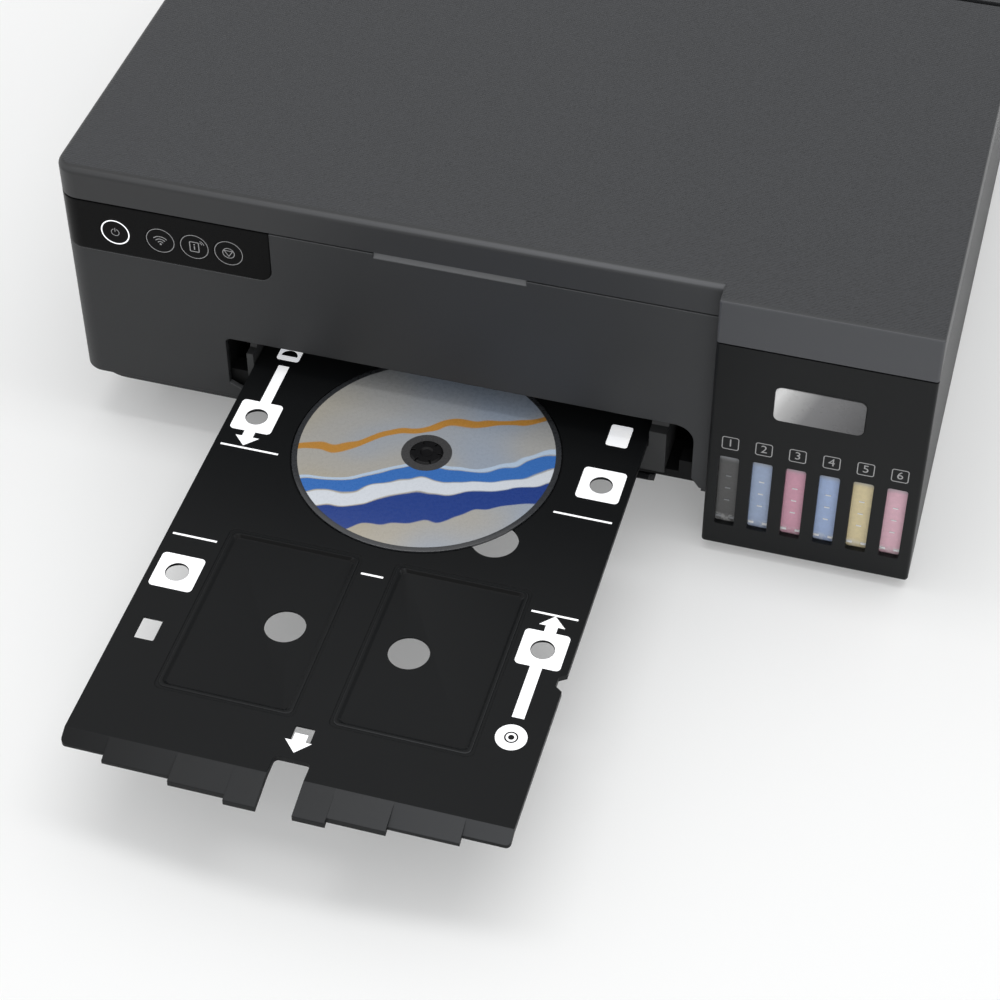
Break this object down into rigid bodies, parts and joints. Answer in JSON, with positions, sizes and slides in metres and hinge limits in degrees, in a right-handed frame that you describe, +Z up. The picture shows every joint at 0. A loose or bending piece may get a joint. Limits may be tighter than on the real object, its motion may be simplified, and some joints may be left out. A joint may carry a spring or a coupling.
{
  "type": "disc_label_printer",
  "caption": "Desktop inkjet disc label printer with a disc tray reaching out of the front, refillable ink tanks on the right and a hinged top cover",
  "frame": {"origin": "centre of the overall bounding box in X and Y, at the level of the feet's bottoms", "axes": "+X right as seen from the front, +Y from the tray's front edge towards the back of the machine, +Z up"},
  "size_m": [0.397, 0.5944, 0.149],
  "materials": {
    "badge_gloss": "polished",
    "belt_rubber": "matte",
    "board_green": "satin",
    "cap_black": "satin",
    "case_grey": "matte",
    "disc_print": "satin",
    "hub_black": "matte",
    "inner_black": "matte",
    "key_black": "satin",
    "light_ring": "satin",
    "panel_black": "satin",
    "roller_grey": "matte",
    "sheet_steel": "satin",
    "soft_black": "matte",
    "supply_black": "matte",
    "tank_black": "satin",
    "tank_clear": "satin",
    "tray_black": "satin",
    "white_plastic": "satin"
  },
  "bodies": {
    "housing": {"lower_case": "inner_black", "rubber_feet": "soft_black", "front_panel": "case_grey", "left_side_cover": "case_grey", "right_side_cover": "case_grey", "rear_cover": "case_grey", "tank_front_cover": "tank_black", "badge_plate": "badge_gloss", "control_panel": "panel_black", "power_light_ring": "light_ring", "circuit_boards": "board_green", "rear_deck": "inner_black", "hopper": "inner_black", "tray_guides": "inner_black", "exit_frame": "inner_black", "chassis": "sheet_steel", "carriage_rail": "sheet_steel", "chassis_screws": "sheet_steel", "timing_belt": "belt_rubber", "roller_belt": "belt_rubber", "motors": "sheet_steel", "platen": "inner_black", "capping_station": "inner_black", "waste_ink_box": "inner_black", "power_supply": "supply_black", "ink_tank_1": "tank_clear", "ink_tank_2": "tank_clear", "ink_tank_3": "tank_clear", "ink_tank_4": "tank_clear", "ink_tank_5": "tank_clear", "ink_tank_6": "tank_clear"},
    "cover": {"top_cover": "case_grey"},
    "paper_support": {"paper_support": "case_grey"},
    "disc_tray": {"disc_tray": "tray_black", "tray_hub": "hub_black"},
    "disc": {"disc": "disc_print"},
    "output_tray": {"output_tray": "inner_black"},
    "output_extension": {"output_extension": "inner_black"},
    "carriage": {"carriage": "inner_black", "print_head": "sheet_steel"},
    "drive_pulley": {"drive_pulley": "sheet_steel"},
    "idler_pulley": {"idler_pulley": "white_plastic"},
    "feed_roller": {"feed_roller": "roller_grey"},
    "eject_roller": {"eject_roller": "roller_grey"},
    "motor_pulley": {"motor_pulley": "sheet_steel"},
    "star_wheels": {"star_wheels": "sheet_steel"},
    "pinch_rollers": {"pinch_rollers": "soft_black"},
    "pickup_roller": {"pickup_roller": "roller_grey"},
    "edge_guide_left": {"edge_guide_left": "inner_black"},
    "edge_guide_right": {"edge_guide_right": "inner_black"},
    "power_key": {"power_key": "key_black"},
    "network_key": {"network_key": "key_black"},
    "info_key": {"info_key": "key_black"},
    "stop_key": {"stop_key": "key_black"},
    "tank_cap_1": {"tank_cap_1": "cap_black"},
    "tank_cap_2": {"tank_cap_2": "cap_black"},
    "tank_cap_3": {"tank_cap_3": "cap_black"},
    "tank_cap_4": {"tank_cap_4": "cap_black"},
    "tank_cap_5": {"tank_cap_5": "cap_black"},
    "tank_cap_6": {"tank_cap_6": "cap_black"}
  },
  "joints": [
    {"name": "cover_hinge", "type": "hinge", "parent": "housing", "child": "cover", "pos_m": [0, 0.1708, 0.1443], "axis": [-1, 0, 0], "range_deg": [0, 60]},
    {"name": "paper_support_hinge", "type": "hinge", "parent": "housing", "child": "paper_support", "pos_m": [0, 0.26, 0.1443], "axis": [-1, 0, 0], "range_deg": [0, 105]},
    {"name": "disc_tray_slide", "type": "slide", "parent": "housing", "child": "disc_tray", "axis": [0, -1, 0], "range_m": [-0.222, 0.015]},
    {"name": "disc_lift", "type": "slide", "parent": "disc_tray", "child": "disc", "axis": [0, 0, 1], "range_m": [0, 0.012]},
    {"name": "output_tray_slide", "type": "slide", "parent": "housing", "child": "output_tray", "axis": [0, -1, 0], "range_m": [0, 0.15]},
    {"name": "output_extension_slide", "type": "slide", "parent": "output_tray", "child": "output_extension", "axis": [0, -1, 0], "range_m": [0, 0.13]},
    {"name": "carriage_slide", "type": "slide", "parent": "housing", "child": "carriage", "axis": [1, 0, 0], "range_m": [-0.285, 0]},
    {"name": "drive_pulley_spin", "type": "hinge", "parent": "housing", "child": "drive_pulley", "pos_m": [-0.175, 0.0858, 0.1], "axis": [0, 1, 0], "continuous": true},
    {"name": "idler_pulley_spin", "type": "hinge", "parent": "housing", "child": "idler_pulley", "pos_m": [0.175, 0.0858, 0.1], "axis": [0, 1, 0], "continuous": true},
    {"name": "feed_roller_spin", "type": "hinge", "parent": "housing", "child": "feed_roller", "pos_m": [0, 0.0813, 0.0413], "axis": [1, 0, 0], "continuous": true},
    {"name": "eject_roller_spin", "type": "hinge", "parent": "housing", "child": "eject_roller", "pos_m": [0, -0.0287, 0.0413], "axis": [1, 0, 0], "continuous": true},
    {"name": "motor_pulley_spin", "type": "hinge", "parent": "housing", "child": "motor_pulley", "pos_m": [-0.133, 0.0253, 0.022], "axis": [1, 0, 0], "continuous": true},
    {"name": "star_wheels_spin", "type": "hinge", "parent": "housing", "child": "star_wheels", "pos_m": [0, -0.0287, 0.05635], "axis": [-1, 0, 0], "continuous": true},
    {"name": "pinch_rollers_spin", "type": "hinge", "parent": "housing", "child": "pinch_rollers", "pos_m": [0, 0.0813, 0.05535], "axis": [-1, 0, 0], "continuous": true},
    {"name": "pickup_roller_spin", "type": "hinge", "parent": "housing", "child": "pickup_roller", "pos_m": [0, 0.196, 0.084], "axis": [1, 0, 0], "continuous": true},
    {"name": "edge_guide_left_slide", "type": "slide", "parent": "housing", "child": "edge_guide_left", "axis": [1, 0, 0], "range_m": [0, 0.05]},
    {"name": "edge_guide_right_slide", "type": "slide", "parent": "housing", "child": "edge_guide_right", "axis": [-1, 0, 0], "range_m": [0, 0.05]},
    {"name": "power_key_press", "type": "slide", "parent": "housing", "child": "power_key", "axis": [0, 1, 0], "range_m": [0, 0.0006], "stiffness_N_per_m": 800},
    {"name": "network_key_press", "type": "slide", "parent": "housing", "child": "network_key", "axis": [0, 1, 0], "range_m": [0, 0.0006], "stiffness_N_per_m": 800},
    {"name": "info_key_press", "type": "slide", "parent": "housing", "child": "info_key", "axis": [0, 1, 0], "range_m": [0, 0.0006], "stiffness_N_per_m": 800},
    {"name": "stop_key_press", "type": "slide", "parent": "housing", "child": "stop_key", "axis": [0, 1, 0], "range_m": [0, 0.0006], "stiffness_N_per_m": 800},
    {"name": "tank_cap_1_hinge", "type": "hinge", "parent": "housing", "child": "tank_cap_1", "pos_m": [0.1142, -0.0357, 0.1124], "axis": [-1, 0, 0], "range_deg": [0, 100]},
    {"name": "tank_cap_2_hinge", "type": "hinge", "parent": "housing", "child": "tank_cap_2", "pos_m": [0.12906, -0.0357, 0.1124], "axis": [-1, 0, 0], "range_deg": [0, 100]},
    {"name": "tank_cap_3_hinge", "type": "hinge", "parent": "housing", "child": "tank_cap_3", "pos_m": [0.14392, -0.0357, 0.1124], "axis": [-1, 0, 0], "range_deg": [0, 100]},
    {"name": "tank_cap_4_hinge", "type": "hinge", "parent": "housing", "child": "tank_cap_4", "pos_m": [0.15878, -0.0357, 0.1124], "axis": [-1, 0, 0], "range_deg": [0, 100]},
    {"name": "tank_cap_5_hinge", "type": "hinge", "parent": "housing", "child": "tank_cap_5", "pos_m": [0.17364, -0.0357, 0.1124], "axis": [-1, 0, 0], "range_deg": [0, 100]},
    {"name": "tank_cap_6_hinge", "type": "hinge", "parent": "housing", "child": "tank_cap_6", "pos_m": [0.1885, -0.0357, 0.1124], "axis": [-1, 0, 0], "range_deg": [0, 100]}
  ],
  "couplings": [
    {"joint": "drive_pulley_spin", "follows": "carriage_slide", "rad_per_m": 149.25},
    {"joint": "idler_pulley_spin", "follows": "carriage_slide", "rad_per_m": 149.25},
    {"joint": "feed_roller_spin", "follows": "disc_tray_slide", "rad_per_m": 181.82},
    {"joint": "eject_roller_spin", "follows": "disc_tray_slide", "rad_per_m": 181.82},
    {"joint": "motor_pulley_spin", "follows": "disc_tray_slide", "rad_per_m": 181.82},
    {"joint": "star_wheels_spin", "follows": "disc_tray_slide", "rad_per_m": 200},
    {"joint": "pinch_rollers_spin", "follows": "disc_tray_slide", "rad_per_m": 250},
    {"joint": "edge_guide_right_slide", "follows": "edge_guide_left_slide", "ratio": 1}
  ]
}
